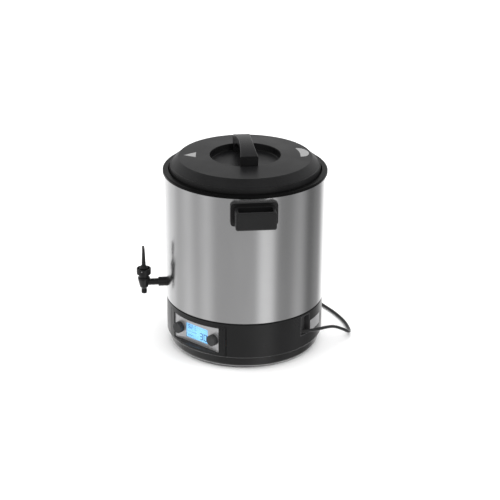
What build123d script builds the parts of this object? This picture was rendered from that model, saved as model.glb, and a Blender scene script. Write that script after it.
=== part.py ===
from build123d import *
from math import cos, degrees, pi, radians, sin, sqrt, tan
import os

os.makedirs("parts", exist_ok=True)

# A tall electric pot with a tap. Millimetres, +Z up, origin on the floor under the pot's centre.
# The control panel faces -Y. Bearings are in degrees from -Y towards +X.

# ---- heights, one on top of the other ----
foot_height = 3.0
pan_height = 25.0
housing_height = 80.0
seam_height = 3.5
sleeve_height = 293.5

# ---- radii ----
sleeve_radius = 175.0
housing_radius = sleeve_radius - 1.0
seam_radius = sleeve_radius - 3.5
pan_radius = sleeve_radius - 7.0
pot_radius = sleeve_radius - 14.0
rim_overhang = 4.5

# ---- walls ----
sleeve_wall = 0.8
pot_wall = 1.2
housing_wall = 2.5
pan_wall = 2.5
lid_wall = 1.5

# ---- fits ----
body_gap = 0.3
panel_gap = 0.3
running_gap = 0.06
press_gap = 0.02
screw_gap = 0.1

# ---- lid ----
ledge_drop = 9.0
mouth_step = 6.0
lid_side_gap = 1.5
skirt_height = 20.7
skirt_lean = 2.0
crease_radius = pot_radius - 15.7
crease_height = 15.5
crown_height = 3.5
dish_radius = 77.0
dish_depth = 15.5
lid_grip_bearing = 47.5
lid_grip_length = 150.0
lid_grip_width = 38.5
lid_grip_waist = 28.5
lid_grip_rise = 21.1
lid_grip_arch = 13.5
lid_grip_thickness = 15.0
lid_leg_length = 16.0

# ---- side handles ----
side_grip_bearing = 47.0
side_plate_half = 50.0
side_plate_height = 51.0
side_plate_drop = 63.5
side_plate_reach = 6.0
side_grip_half = 43.0
side_grip_height = 39.5
side_grip_reach = 45.0
side_grip_wall = 6.0
side_web_height = 4.0

# ---- tap ----
tap_bearing = -43.0
tap_reach = sleeve_radius + 50.0
tap_pipe_drop = 31.5
tap_pipe_radius = 7.5
tap_pipe_bore = 4.5
tap_union_radius = 10.5
tap_union_length = 18.0
tap_nut_radius = 13.0
tap_nut_length = 7.0
nozzle_radius = 6.15
nozzle_bore = 4.2
nozzle_length = 12.0
valve_radius = 13.5
valve_bore = 7.5
cap_radius = 16.0
cap_height = 14.0
cup_radius = 12.9
cup_depth = 11.0
stem_radius = 2.5
seal_radius = 6.8
crank_arm = 5.2
pivot_radius = 1.5
crank_radius = 1.0
lever_height = 52.5
lever_waist = 9.6
lever_width = 22.4
lever_slot = 3.6

# ---- control panel ----
bezel_half_angle = 27.7
bezel_drop = 7.0
bezel_height = 69.0
plate_distance = housing_radius - 15.0
plate_wall = 2.0
plate_width = 130.0
plate_height = 59.5
bezel_sill = 4.5
display_width = 63.0
display_height = 34.0
display_sill = 10.0
knob_radius = 12.25
knob_length = 11.0
knob_spacing = 99.0
shaft_radius = 3.0
bushing_radius = 3.5

# ---- heating and control inside the base ----
heat_plate_radius = pot_radius - 31.0
heat_plate_wall = 3.0
element_radius = pot_radius - 56.0
element_rod = 4.0
reflector_radius = pot_radius - 23.0
reflector_drop = 20.0
board_wall = 1.6
tie_radius = 4.0

# ---- mains lead ----
cord_radius = 3.5
cord_bearing = 90.8
relief_length = 22.0
relief_turn = 61.0
relief_height = 65.0
coil_radius = 39.0
coil_layers = 2

# ---- levels that follow ----
pan_bottom = foot_height
housing_bottom = pan_bottom + pan_height
housing_top = housing_bottom + housing_height
sleeve_bottom = housing_top + seam_height
sleeve_top = sleeve_bottom + sleeve_height
rim_top = sleeve_top + pot_wall
ledge_top = sleeve_top - ledge_drop
pot_bottom = sleeve_bottom + 1.5
pot_floor = pot_bottom + pot_wall
mouth_radius = pot_radius + mouth_step
pot_outer = pot_radius + pot_wall
rim_radius = sleeve_radius + rim_overhang
housing_inner = housing_radius - housing_wall


def out(bearing):
    """Level unit vector that points away from the pot's axis."""
    return Vector(sin(radians(bearing)), -cos(radians(bearing)), 0)


def facing(bearing, distance=0.0):
    """Upright plane that looks outward, with x sideways and y up."""
    side = Vector(cos(radians(bearing)), sin(radians(bearing)), 0)
    return Plane(origin=out(bearing) * distance, x_dir=side, z_dir=out(bearing))


def level(bearing, distance, height):
    """Level plane with x pointing outward."""
    spot = out(bearing) * distance + Vector(0, 0, height)
    return Plane(origin=spot, x_dir=out(bearing), z_dir=(0, 0, 1))


def slice_through(bearing, distance=0.0):
    """Upright plane along the bearing, with x outward and y up, for turned profiles."""
    normal = Vector(-cos(radians(bearing)), -sin(radians(bearing)), 0)
    return Plane(origin=out(bearing) * distance, x_dir=out(bearing), z_dir=normal)


# ================= base =================

foot_circle = pan_radius - 28.0
foot_radius = 11.0
foot_stem = 4.0
foot_spots = [level(45 + 90 * turn, foot_circle, 0) for turn in range(4)]
screw_circle = pan_radius - 18.0
screw_radius = 2.0
screw_head = 4.2
screw_head_height = 2.6
screw_spots = [60, 180, 300]
pan_boss_radius = 6.0
lip_inner = screw_circle - 7.0
pan_corner = 10.0
pan_lean = 2.5
pan_floor = pan_bottom + pan_wall
screw_seat = pan_bottom + 3.2
lip_boss_height = 12.0
board_stand = 12.0
power_board_length = 110.0
power_board_depth = 70.0
power_board_distance = 95.0
power_board_level = pan_floor + board_stand
power_posts = [(x, y) for x in (-48, 48) for y in (-28, 28)]
power_plane = Plane(origin=(0, power_board_distance, 0), x_dir=(1, 0, 0), z_dir=(0, 0, 1))
tie_head = 7.5
tie_boss_radius = 14.0
tie_seat = pan_floor + 4.5

with BuildPart() as base_pan:
    with BuildSketch(Plane.XZ):
        with BuildLine():
            FilletPolyline(
                (0, pan_bottom),
                (pan_radius - pan_lean, pan_bottom),
                (pan_radius, housing_bottom),
                (pan_radius - pan_wall, housing_bottom),
                (pan_radius - pan_lean - pan_wall, pan_floor),
                (0, pan_floor),
                radius=[0, pan_corner, 0, 0, pan_corner - pan_wall, 0],
                close=True,
            )
        make_face()
    revolve(axis=Axis.Z)
    with BuildSketch(Plane.XY.offset(pan_floor)):
        with PolarLocations(screw_circle, 3, start_angle=screw_spots[0] - 90):
            Circle(pan_boss_radius)
    extrude(amount=housing_bottom - pan_floor)
    with BuildSketch(power_plane.offset(pan_floor)):
        with Locations(*power_posts):
            Circle(4)
    extrude(amount=board_stand)
    with BuildSketch(Plane.XY.offset(pan_floor)):
        Circle(tie_boss_radius)
    extrude(amount=tie_seat + 4 - pan_floor)
    with BuildSketch(Plane.XY.offset(pan_bottom)):
        with PolarLocations(screw_circle, 3, start_angle=screw_spots[0] - 90):
            Circle(screw_head + 0.4)
        Circle(tie_head + 0.5)
    extrude(amount=screw_seat - pan_bottom, mode=Mode.SUBTRACT)
    with BuildSketch(Plane.XY.offset(pan_bottom)):
        with PolarLocations(screw_circle, 3, start_angle=screw_spots[0] - 90):
            Circle(screw_radius + screw_gap)
    extrude(amount=pan_height, mode=Mode.SUBTRACT)
    with BuildSketch(Plane.XY.offset(pan_bottom)):
        Circle(tie_head + 0.5)
    extrude(amount=tie_seat - pan_bottom, mode=Mode.SUBTRACT)
    with BuildSketch(Plane.XY.offset(pan_bottom)):
        Circle(tie_radius + screw_gap)
    extrude(amount=pan_height, mode=Mode.SUBTRACT)
    with BuildSketch(*foot_spots):
        Circle(foot_stem + screw_gap)
    extrude(amount=pan_floor, mode=Mode.SUBTRACT)
base_pan.part.label = "base_pan"
export_step(base_pan.part, "parts/base_pan.step")

with BuildPart() as feet:
    with BuildSketch(*foot_spots):
        Circle(foot_radius)
    extrude(amount=foot_height)
    with BuildSketch(*foot_spots):
        Circle(foot_stem)
    extrude(amount=pan_floor)
    with BuildSketch(*[spot.offset(pan_floor) for spot in foot_spots]):
        Circle(foot_stem + 1.8)
    extrude(amount=2.5)
feet.part.label = "feet"
export_step(feet.part, "parts/feet.step")

# The band around the base, with its panel opening and the recess for the cord.
band_edge = 4.0
lip_wall = 2.5
opening_low = housing_bottom + bezel_drop - 3.0 - panel_gap
opening_high = opening_low + bezel_height + 2 * panel_gap
opening_half = bezel_half_angle + degrees(panel_gap / housing_radius)
inlet_width = 32.0
inlet_wall = 2.0
inlet_low = housing_bottom + 29.0
inlet_high = housing_top - lip_wall - 0.5
inlet_back = housing_radius - 15.0
inlet_middle = (inlet_low + inlet_high) / 2
inlet_height = inlet_high - inlet_low

with BuildPart() as base_housing:
    with BuildSketch(Plane.XZ):
        with BuildLine():
            FilletPolyline(
                (lip_inner, housing_bottom),
                (housing_radius, housing_bottom),
                (housing_radius, housing_top),
                (housing_inner - 14, housing_top),
                (housing_inner - 14, housing_top - lip_wall),
                (housing_inner, housing_top - lip_wall),
                (housing_inner, housing_bottom + lip_wall),
                (lip_inner, housing_bottom + lip_wall),
                radius=[0, band_edge, 0.8, 0, 0, 0, 0, 0],
                close=True,
            )
        make_face()
    revolve(axis=Axis.Z)
    with BuildSketch(Plane.XY.offset(housing_bottom)):
        with PolarLocations(screw_circle, 3, start_angle=screw_spots[0] - 90):
            Circle(pan_boss_radius - 1)
    extrude(amount=lip_wall + lip_boss_height)
    with BuildSketch(Plane.XY.offset(housing_bottom)):
        with PolarLocations(screw_circle, 3, start_angle=screw_spots[0] - 90):
            Circle(screw_radius + screw_gap)
    extrude(amount=lip_wall + lip_boss_height - 2, mode=Mode.SUBTRACT)
    with BuildSketch(Plane.XY.offset(opening_low)):
        with BuildLine():
            Line((0, 0), out(-opening_half) * 2 * housing_radius)
            Line(out(-opening_half) * 2 * housing_radius, out(opening_half) * 2 * housing_radius)
            Line(out(opening_half) * 2 * housing_radius, (0, 0))
        make_face()
        Circle(housing_inner - 2, mode=Mode.SUBTRACT)
    extrude(amount=opening_high - opening_low, mode=Mode.SUBTRACT)
    with BuildSketch(facing(cord_bearing, inlet_back - 5)):
        with Locations((0, inlet_middle)):
            Rectangle(inlet_width, inlet_height)
    extrude(amount=40, mode=Mode.SUBTRACT)
base_housing.part.label = "base_housing"
export_step(base_housing.part, "parts/base_housing.step")

with BuildPart() as pan_screws:
    with BuildSketch(Plane.XY.offset(screw_seat - screw_head_height)):
        with PolarLocations(screw_circle, 3, start_angle=screw_spots[0] - 90):
            Circle(screw_head)
    extrude(amount=screw_head_height)
    with BuildSketch(Plane.XY.offset(screw_seat)):
        with PolarLocations(screw_circle, 3, start_angle=screw_spots[0] - 90):
            Circle(screw_radius)
    extrude(amount=housing_bottom + lip_wall + lip_boss_height - 3 - screw_seat)
    with BuildSketch(Plane.XY.offset(screw_seat - screw_head_height)):
        with PolarLocations(screw_circle, 3, start_angle=screw_spots[0] - 90):
            Rectangle(5, 1)
            Rectangle(1, 5)
    extrude(amount=1.2, mode=Mode.SUBTRACT)
pan_screws.part.label = "pan_screws"
export_step(pan_screws.part, "parts/pan_screws.step")

with BuildPart() as seam_ring:
    with BuildSketch(Plane.XY.offset(housing_top)):
        Circle(seam_radius)
        Circle(seam_radius - 11, mode=Mode.SUBTRACT)
    extrude(amount=seam_height)
seam_ring.part.label = "seam_ring"
export_step(seam_ring.part, "parts/seam_ring.step")

# ================= pot and sleeve =================

tap_pipe_height = pot_bottom + tap_pipe_drop - 1.5
tap_pipe_plane = facing(tap_bearing)
side_screw_half = 28.0
side_screw_radius = 2.5
side_screw_level = sleeve_top - side_plate_drop + 25.5
side_bearings = [side_grip_bearing, side_grip_bearing + 180]
side_planes = [facing(bearing) for bearing in side_bearings]
side_screw_points = [(-side_screw_half, side_screw_level), (side_screw_half, side_screw_level)]

with BuildPart() as outer_sleeve:
    with BuildSketch(Plane.XZ):
        with BuildLine():
            Polyline(
                (sleeve_radius - 9, sleeve_bottom),
                (sleeve_radius, sleeve_bottom),
                (sleeve_radius, sleeve_top),
                (sleeve_radius - sleeve_wall, sleeve_top),
                (sleeve_radius - sleeve_wall, sleeve_bottom + sleeve_wall),
                (sleeve_radius - 9, sleeve_bottom + sleeve_wall),
                close=True,
            )
        make_face()
    revolve(axis=Axis.Z)
    with BuildSketch(tap_pipe_plane):
        with Locations((0, tap_pipe_height)):
            Circle(tap_pipe_radius + body_gap)
    extrude(amount=tap_reach, mode=Mode.SUBTRACT)
    with BuildSketch(*side_planes):
        with Locations(*side_screw_points):
            Circle(side_screw_radius + screw_gap)
    extrude(amount=tap_reach, mode=Mode.SUBTRACT)
outer_sleeve.part.label = "outer_sleeve"
export_step(outer_sleeve.part, "parts/outer_sleeve.step")

pot_corner = 12.0
bead_radius = 2.4
bead_drop = 5.0
tie_stud_radius = 9.0
tie_stud_length = 14.0

with BuildPart() as inner_pot:
    with BuildSketch(Plane.XZ):
        with BuildLine():
            FilletPolyline(
                (0, pot_bottom),
                (pot_outer, pot_bottom),
                (pot_outer, ledge_top - pot_wall),
                (mouth_radius + pot_wall, ledge_top - pot_wall),
                (mouth_radius + pot_wall, sleeve_top),
                (rim_radius - pot_wall, sleeve_top),
                (rim_radius - pot_wall, sleeve_top - bead_drop),
                (rim_radius, sleeve_top - bead_drop),
                (rim_radius, rim_top),
                (mouth_radius, rim_top),
                (mouth_radius, ledge_top),
                (pot_radius, ledge_top),
                (pot_radius, pot_floor),
                (0, pot_floor),
                radius=[0, pot_corner, 0, 0, 0, bead_radius - pot_wall, 0, 0, bead_radius, 0.8]
                + [0, 0, pot_corner - pot_wall, 0],
                close=True,
            )
        make_face()
    revolve(axis=Axis.Z)
    with BuildSketch(Plane.XY.offset(pot_bottom - tie_stud_length)):
        Circle(tie_stud_radius)
        Circle(tie_radius + screw_gap, mode=Mode.SUBTRACT)
    extrude(amount=tie_stud_length)
    with BuildSketch(tap_pipe_plane):
        with Locations((0, tap_pipe_height)):
            Circle(tap_pipe_radius + body_gap)
    extrude(amount=tap_reach, mode=Mode.SUBTRACT)
inner_pot.part.label = "inner_pot"
export_step(inner_pot.part, "parts/inner_pot.step")

with BuildPart() as tie_bolt:
    with BuildSketch(Plane.XY.offset(tie_seat - 6)):
        RegularPolygon(tie_head, 6)
    extrude(amount=6)
    with BuildSketch(Plane.XY.offset(tie_seat)):
        Circle(tie_radius)
    extrude(amount=pot_bottom - 4 - tie_seat)
tie_bolt.part.label = "tie_bolt"
export_step(tie_bolt.part, "parts/tie_bolt.step")

# ================= loose rack on the pot's floor =================

rack_radius = pot_radius - pot_corner - 2.0
rack_height = 14.0
rack_wall = 1.2
rack_bottom = pot_floor + body_gap

with BuildPart() as rack:
    with BuildSketch(Plane.XZ):
        with BuildLine():
            Polyline(
                (0, rack_bottom + rack_height - rack_wall),
                (rack_radius - rack_wall, rack_bottom + rack_height - rack_wall),
                (rack_radius - rack_wall, rack_bottom),
                (rack_radius, rack_bottom),
                (rack_radius, rack_bottom + rack_height),
                (0, rack_bottom + rack_height),
                close=True,
            )
        make_face()
    revolve(axis=Axis.Z)
    with BuildSketch(Plane.XY.offset(rack_bottom + 2)):
        for ring in (1, 2, 3):
            with PolarLocations(rack_radius * ring / 3.6, 6 * ring):
                Circle(9)
        Circle(9)
    extrude(amount=rack_height, mode=Mode.SUBTRACT)
rack.part.label = "rack"
export_step(rack.part, "parts/rack.step")

# ================= heating =================

plate_bottom = pot_bottom - heat_plate_wall
element_level = plate_bottom - element_rod
element_gap_angle = 30.0
element_leg = 26.0
reflector_top = pot_bottom - reflector_drop
reflector_wall = 1.0
reflector_rim = 11.0
sensor_spot = level(300, 55, 0)
sensor_radius = 6.0
cutout_spot = level(60, 60, 0)
cutout_radius = 9.0
post_circle = 80.0
post_radius = 4.0
element_ends = [level(180 + side * element_gap_angle / 2, element_radius, 0) for side in (-1, 1)]

with BuildPart() as heat_plate:
    with BuildSketch(Plane.XY.offset(plate_bottom)):
        Circle(heat_plate_radius)
        Circle(tie_stud_radius + 2, mode=Mode.SUBTRACT)
        with Locations(sensor_spot.origin):
            Circle(sensor_radius + 2, mode=Mode.SUBTRACT)
    extrude(amount=heat_plate_wall)
heat_plate.part.label = "heat_plate"
export_step(heat_plate.part, "parts/heat_plate.step")

# The element's ring stops just past the two legs that hang from its ends.
element_end_angle = element_gap_angle / 2 - degrees((element_rod + 1) / element_radius)
with BuildPart() as heating_element:
    with BuildSketch(slice_through(180 + element_end_angle)):
        with Locations((element_radius, element_level)):
            Circle(element_rod)
    revolve(axis=Axis.Z, revolution_arc=360 - 2 * element_end_angle)
    with BuildSketch(*[spot.offset(element_level - element_leg) for spot in element_ends]):
        Circle(element_rod - 0.5)
    extrude(amount=element_leg)
heating_element.part.label = "heating_element"
export_step(heating_element.part, "parts/heating_element.step")

with BuildPart() as heat_reflector:
    with BuildSketch(Plane.XY.offset(reflector_top - reflector_wall)):
        Circle(reflector_radius)
        Circle(tie_stud_radius + 3, mode=Mode.SUBTRACT)
        with Locations(*[spot.origin for spot in element_ends]):
            Circle(element_rod + 3, mode=Mode.SUBTRACT)
        with Locations(sensor_spot.origin):
            Circle(3, mode=Mode.SUBTRACT)
    extrude(amount=reflector_wall)
    with BuildSketch(Plane.XY.offset(reflector_top)):
        Circle(reflector_radius)
        Circle(reflector_radius - reflector_wall, mode=Mode.SUBTRACT)
    extrude(amount=reflector_rim)
heat_reflector.part.label = "heat_reflector"
export_step(heat_reflector.part, "parts/heat_reflector.step")

with BuildPart() as reflector_posts:
    with BuildSketch(Plane.XY.offset(reflector_top)):
        with PolarLocations(post_circle, 3):
            Circle(post_radius)
    extrude(amount=plate_bottom - reflector_top)
reflector_posts.part.label = "reflector_posts"
export_step(reflector_posts.part, "parts/reflector_posts.step")

sensor_height = 9.0
spring_wire = 0.5
sensor_spring_radius = 4.6
with BuildPart() as temperature_sensor:
    with BuildSketch(sensor_spot.offset(pot_bottom - sensor_height)):
        Circle(sensor_radius)
    extrude(amount=sensor_height)
    with BuildSketch(sensor_spot.offset(reflector_top - 8)):
        Circle(2.4)
    extrude(amount=pot_bottom - sensor_height - reflector_top + 8)
temperature_sensor.part.label = "temperature_sensor"
export_step(temperature_sensor.part, "parts/temperature_sensor.step")

sensor_spring_length = reflector_drop - sensor_height - 2 * spring_wire
with BuildPart() as sensor_spring:
    with BuildLine(sensor_spot.offset(reflector_top + spring_wire)) as sensor_coil:
        Helix(sensor_spring_length / 4, sensor_spring_length, sensor_spring_radius)
    with BuildSketch(Plane(origin=sensor_coil.line @ 0, z_dir=sensor_coil.line % 0)):
        Circle(spring_wire)
    sweep(path=sensor_coil.line, is_frenet=True)
sensor_spring.part.label = "sensor_spring"
export_step(sensor_spring.part, "parts/sensor_spring.step")

with BuildPart() as thermal_cutout:
    with BuildSketch(cutout_spot.offset(plate_bottom - 7)):
        Circle(cutout_radius)
    extrude(amount=7)
    with BuildSketch(cutout_spot.offset(plate_bottom - 13)):
        with Locations((-4, 0), (4, 0)):
            Rectangle(0.8, 6)
    extrude(amount=6)
thermal_cutout.part.label = "thermal_cutout"
export_step(thermal_cutout.part, "parts/thermal_cutout.step")

# ================= boards and wiring =================

relay_height = 16.0
connector_height = 12.0
with BuildPart() as power_board:
    with BuildSketch(power_plane.offset(power_board_level)):
        Rectangle(power_board_length, power_board_depth)
    extrude(amount=board_wall)
    with BuildSketch(power_plane.offset(power_board_level + board_wall)):
        with Locations((0, -10)):
            Rectangle(38, 28)
    extrude(amount=28)
    with BuildSketch(power_plane.offset(power_board_level + board_wall)):
        with Locations((-38, -12), (38, -12)):
            Rectangle(16, 26)
    extrude(amount=relay_height)
    with BuildSketch(*[spot.offset(power_board_level + board_wall) for spot in element_ends]):
        Rectangle(9, 9)
    extrude(amount=connector_height)
power_board.part.label = "power_board"
export_step(power_board.part, "parts/power_board.step")

with BuildPart() as element_leads:
    lead_bottom = power_board_level + board_wall + connector_height
    with BuildSketch(*[spot.offset(lead_bottom) for spot in element_ends]):
        Circle(1.6)
    extrude(amount=element_level - element_leg - lead_bottom)
element_leads.part.label = "element_leads"
export_step(element_leads.part, "parts/element_leads.step")

# ================= control panel =================

bezel_low = opening_low + panel_gap
bezel_back_wall = 2.5
bezel_back = plate_distance - plate_wall - bezel_back_wall
recess_low = bezel_low + bezel_sill
recess_middle = recess_low + plate_height / 2
knob_level = recess_middle - 2.0
display_middle = recess_low + display_sill + display_height / 2
knob_points = [(-knob_spacing / 2, knob_level), (knob_spacing / 2, knob_level)]
panel = facing(0)
lens_gap = 0.2
board_distance = bezel_back - 8.5
standoff_radius = 3.5
board_points = [(x, y) for x in (-58, 58) for y in (recess_low + 5, recess_low + plate_height - 7)]
flange_reach = 3.5

with BuildPart() as panel_bezel:
    with BuildSketch(Plane.XY.offset(bezel_low)):
        Circle(housing_radius)
        with BuildLine():
            Line((0, 0), out(-bezel_half_angle) * 2 * housing_radius)
            Line(
                out(-bezel_half_angle) * 2 * housing_radius,
                out(bezel_half_angle) * 2 * housing_radius,
            )
            Line(out(bezel_half_angle) * 2 * housing_radius, (0, 0))
        make_face(mode=Mode.INTERSECT)
    extrude(amount=bezel_height)
    with BuildSketch(Plane.XY.offset(bezel_low + 0.5)):
        Circle(housing_inner - body_gap)
        with BuildLine():
            Line((0, 0), out(-bezel_half_angle - flange_reach) * 2 * housing_radius)
            Line(
                out(-bezel_half_angle - flange_reach) * 2 * housing_radius,
                out(bezel_half_angle + flange_reach) * 2 * housing_radius,
            )
            Line(out(bezel_half_angle + flange_reach) * 2 * housing_radius, (0, 0))
        make_face(mode=Mode.INTERSECT)
        Circle(housing_inner - 3, mode=Mode.SUBTRACT)
    extrude(amount=bezel_height - 1)
    with BuildSketch(panel):
        with Locations((0, bezel_low + bezel_height / 2)):
            Rectangle(2 * housing_radius, 2 * bezel_height)
    extrude(amount=bezel_back, mode=Mode.SUBTRACT)
    with BuildSketch(panel.offset(bezel_back + bezel_back_wall)):
        with Locations((0, recess_middle)):
            Rectangle(plate_width + 2 * lens_gap, plate_height)
    extrude(amount=housing_radius, mode=Mode.SUBTRACT)
    with BuildSketch(panel.offset(board_distance + board_wall)):
        with Locations(*board_points):
            Circle(standoff_radius)
            Circle(1.5, mode=Mode.SUBTRACT)
    extrude(amount=bezel_back - board_distance - board_wall)
    with BuildSketch(panel.offset(bezel_back)):
        with Locations((0, display_middle)):
            Rectangle(display_width + 1, display_height + 1)
        with Locations(*knob_points):
            Circle(bushing_radius + 0.2)
    extrude(amount=bezel_back_wall, mode=Mode.SUBTRACT)
panel_bezel.part.label = "panel_bezel"
export_step(panel_bezel.part, "parts/panel_bezel.step")

with BuildPart() as front_plate:
    with BuildSketch(panel.offset(bezel_back + bezel_back_wall)):
        with Locations((0, recess_middle)):
            Rectangle(plate_width, plate_height - 2 * lens_gap)
        with Locations((0, display_middle)):
            Rectangle(display_width, display_height, mode=Mode.SUBTRACT)
        with Locations(*knob_points):
            Circle(bushing_radius + 0.2, mode=Mode.SUBTRACT)
    extrude(amount=plate_wall)
front_plate.part.label = "front_plate"
export_step(front_plate.part, "parts/front_plate.step")

lens_wall = 1.6
with BuildPart() as display_window:
    with BuildSketch(panel.offset(plate_distance - lens_wall)):
        with Locations((0, display_middle)):
            Rectangle(display_width - 2 * lens_gap, display_height - 2 * lens_gap)
    extrude(amount=lens_wall)
display_window.part.label = "display_window"
export_step(display_window.part, "parts/display_window.step")

with BuildPart() as display_module:
    with BuildSketch(panel.offset(board_distance + board_wall)):
        with Locations((0, display_middle)):
            Rectangle(display_width + 7, display_height + 8)
    extrude(amount=bezel_back - board_distance - board_wall)
    with BuildSketch(panel.offset(bezel_back)):
        with Locations((0, display_middle)):
            Rectangle(display_width - 2 * lens_gap, display_height - 2 * lens_gap)
    extrude(amount=plate_distance - lens_wall - bezel_back)
display_module.part.label = "display_module"
export_step(display_module.part, "parts/display_module.step")

with BuildPart() as control_board:
    with BuildSketch(panel.offset(board_distance)):
        with Locations((0, recess_middle)):
            Rectangle(plate_width - 4, plate_height - 2)
        with Locations(*board_points):
            Circle(1.6, mode=Mode.SUBTRACT)
    extrude(amount=board_wall)
control_board.part.label = "control_board"
export_step(control_board.part, "parts/control_board.step")

with BuildPart() as board_screws:
    with BuildSketch(panel.offset(board_distance - 2.2)):
        with Locations(*board_points):
            Circle(2.8)
    extrude(amount=2.2)
    with BuildSketch(panel.offset(board_distance)):
        with Locations(*board_points):
            Circle(1.4)
    extrude(amount=7)
board_screws.part.label = "board_screws"
export_step(board_screws.part, "parts/board_screws.step")

encoder_body = 13.0
encoder_depth = bezel_back - board_distance - board_wall - 0.4
bushing_length = plate_distance + 2.0 - bezel_back
shaft_back = board_distance + board_wall + 1.5
with BuildPart() as encoders:
    with BuildSketch(panel.offset(board_distance + board_wall)):
        with Locations(*knob_points):
            Rectangle(encoder_body, encoder_body)
    extrude(amount=encoder_depth)
    with BuildSketch(panel.offset(bezel_back - 0.4)):
        with Locations(*knob_points):
            Circle(bushing_radius)
    extrude(amount=bushing_length + 0.4)
    with BuildSketch(panel.offset(shaft_back - body_gap)):
        with Locations(*knob_points):
            Circle(shaft_radius + running_gap)
    extrude(amount=30, mode=Mode.SUBTRACT)
encoders.part.label = "encoders"
export_step(encoders.part, "parts/encoders.step")

# Each knob sits on its own encoder shaft.
knob_clearance = 0.5
knob_skin = 2.5
knob_rounding = 1.2
knob_flutes = 18
for side, point in zip(("left", "right"), knob_points):
    with BuildPart() as shaft:
        with BuildSketch(panel.offset(shaft_back)):
            with Locations(point):
                Circle(shaft_radius)
        extrude(amount=plate_distance + knob_clearance + knob_length - knob_skin - shaft_back)
    shaft.part.label = f"encoder_shaft_{side}"
    export_step(shaft.part, f"parts/encoder_shaft_{side}.step")

    with BuildPart() as knob:
        with BuildSketch(panel.offset(plate_distance + knob_clearance)):
            with Locations(point):
                Circle(knob_radius)
        extrude(amount=knob_length)
        fillet(knob.edges().group_by(Axis.Y)[0], radius=knob_rounding)
        with BuildSketch(panel.offset(plate_distance + knob_clearance + 1.5)):
            with Locations(point):
                with PolarLocations(knob_radius + 0.5, knob_flutes):
                    Circle(0.9)
        extrude(amount=knob_length, mode=Mode.SUBTRACT)
        with BuildSketch(panel.offset(plate_distance + knob_clearance)):
            with Locations(point):
                Circle(bushing_radius + 2)
        extrude(amount=3, mode=Mode.SUBTRACT)
        with BuildSketch(panel.offset(plate_distance + knob_clearance)):
            with Locations(point):
                Circle(shaft_radius + press_gap)
        extrude(amount=knob_length - knob_skin, mode=Mode.SUBTRACT)
        with BuildSketch(panel.offset(plate_distance + knob_clearance + knob_length - 0.6)):
            with Locations((point[0], point[1] + knob_radius - 4.5)):
                Rectangle(1.4, 6)
        extrude(amount=1, mode=Mode.SUBTRACT)
    knob.part.label = f"knob_{side}"
    export_step(knob.part, f"parts/knob_{side}.step")

ribbon_x = 20.0
ribbon_width = 20.0
ribbon_wall = 1.0
ribbon_low = tie_seat + 8
ribbon_high = recess_low + 8
ribbon_front = lip_inner - 4
ribbon_back = power_board_distance - power_board_depth / 2
with BuildPart() as ribbon_cable:
    with BuildSketch(Plane.YZ.offset(ribbon_x - ribbon_width / 2)):
        with BuildLine():
            Polyline(
                (-board_distance, ribbon_high),
                (-board_distance, ribbon_high - ribbon_wall),
                (-ribbon_front, ribbon_high - ribbon_wall),
                (-ribbon_front, ribbon_low),
                (ribbon_back, ribbon_low),
                (ribbon_back, power_board_level + board_wall),
                (ribbon_back - ribbon_wall, power_board_level + board_wall),
                (ribbon_back - ribbon_wall, ribbon_low + ribbon_wall),
                (ribbon_wall - ribbon_front, ribbon_low + ribbon_wall),
                (ribbon_wall - ribbon_front, ribbon_high),
                close=True,
            )
        make_face()
    extrude(amount=ribbon_width)
ribbon_cable.part.label = "ribbon_cable"
export_step(ribbon_cable.part, "parts/ribbon_cable.step")

# ================= cord inlet =================

relief_radius = 5.5
relief_tip = cord_radius + 0.8
relief_base = out(cord_bearing) * (inlet_back + inlet_wall + 4.5)
relief_side = Vector(cos(radians(cord_bearing)), sin(radians(cord_bearing)), 0)
relief_corner = inlet_wall - inlet_width / 2
relief_start = relief_base + relief_side * relief_corner + Vector(0, 0, relief_height)
relief_angle = cord_bearing - 90 + relief_turn
relief_way = Vector(cos(radians(relief_angle)), sin(radians(relief_angle)), 0)
relief_plane = Plane(origin=relief_start, x_dir=(0, 0, 1), z_dir=relief_way)

with BuildPart() as cord_inlet:
    with BuildSketch(facing(cord_bearing, inlet_back)):
        with Locations((0, inlet_middle)):
            Rectangle(inlet_width - 2 * panel_gap, inlet_height - 2 * panel_gap)
    extrude(amount=30)
    with BuildSketch(facing(cord_bearing, inlet_back + inlet_wall)):
        with Locations((0, inlet_middle)):
            Rectangle(inlet_width - 2 * inlet_wall, inlet_height - 2 * inlet_wall)
    extrude(amount=40, mode=Mode.SUBTRACT)
    with BuildSketch(Plane.XY.offset(inlet_low - 5)):
        Circle(2 * housing_radius)
        Circle(housing_radius, mode=Mode.SUBTRACT)
    extrude(amount=inlet_height + 10, mode=Mode.SUBTRACT)
    with BuildSketch(relief_plane.offset(-30)):
        Circle(relief_radius + screw_gap)
    extrude(amount=60, mode=Mode.SUBTRACT)
cord_inlet.part.label = "cord_inlet"
export_step(cord_inlet.part, "parts/cord_inlet.step")

relief_groove_gap = 4.0
relief_root = 5.0
with BuildPart() as strain_relief:
    with BuildSketch(relief_plane.offset(-relief_root)):
        Circle(relief_radius)
    with BuildSketch(relief_plane.offset(relief_length)):
        Circle(relief_tip)
    loft()
    with BuildSketch(*[relief_plane.offset(8 + relief_groove_gap * turn) for turn in range(4)]):
        Circle(relief_radius + 2)
        Circle(cord_radius + 0.6, mode=Mode.SUBTRACT)
    extrude(amount=1.2, mode=Mode.SUBTRACT)
strain_relief.part.label = "strain_relief"
export_step(strain_relief.part, "parts/strain_relief.step")

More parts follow.
